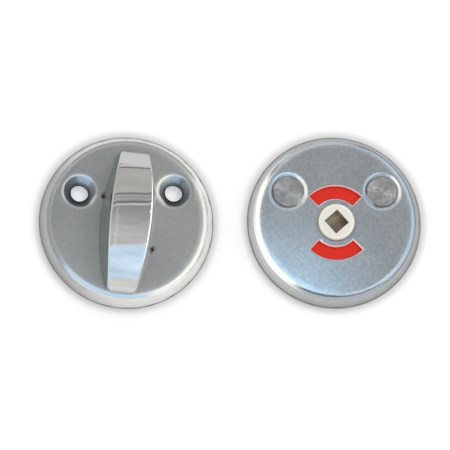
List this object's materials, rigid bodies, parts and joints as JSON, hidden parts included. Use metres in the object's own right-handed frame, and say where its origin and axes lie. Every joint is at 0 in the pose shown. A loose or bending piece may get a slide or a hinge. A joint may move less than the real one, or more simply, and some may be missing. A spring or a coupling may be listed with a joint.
{
  "type": "bathroom thumb turn lock",
  "caption": "Bathroom lock set: round steel rose with an arched thumb turn, and a matching outside rose with a coin-release hub and a red and white indicator behind two windows.",
  "frame": {"origin": "middle of the pair at the door face, z = 0 on the backs of both roses", "axes": "+X from the inside half to the outside half, +Y up the door, +Z away from the door face on both halves"},
  "size_m": [0.1138, 0.0518, 0.0186],
  "materials": {
    "satin_steel": "satin",
    "polished_chrome": "mirror polished",
    "black_nylon": "moulded",
    "white_nylon": "moulded",
    "ivory_plastic": "smooth",
    "coppered_steel": "dull",
    "white_steel": "satin",
    "red_enamel": "gloss",
    "white_enamel": "gloss",
    "spring_steel": "bright",
    "black_steel": "blackened",
    "turned_steel": "turned"
  },
  "bodies": {
    "roses": {"inside_rose": "satin_steel", "inside_base": "black_nylon", "turn_bush": "white_nylon", "turn_wave_washer": "spring_steel", "outside_rose": "satin_steel", "outside_base": "black_nylon", "insert_left": "turned_steel", "insert_right": "turned_steel", "hub_wave_washer": "spring_steel"},
    "turn": {"thumb_turn": "polished_chrome", "turn_disc": "coppered_steel", "turn_washer": "spring_steel", "turn_circlip": "black_steel"},
    "indicator": {"release_hub": "ivory_plastic", "indicator_disc": "white_steel", "red_sector_upper": "red_enamel", "red_sector_lower": "red_enamel", "white_sector_left": "white_enamel", "white_sector_right": "white_enamel", "hub_washer": "spring_steel", "hub_circlip": "black_steel"}
  },
  "joints": [
    {"name": "turn_spin", "type": "hinge", "parent": "roses", "child": "turn", "pos_m": [-0.03095, -0.0011, 0.003], "axis": [0, 0, 1], "range_deg": [0, 90]},
    {"name": "indicator_spin", "type": "hinge", "parent": "roses", "child": "indicator", "pos_m": [0.03095, -0.0011, 0.003], "axis": [0, 0, 1], "range_deg": [-90, 0]}
  ]
}
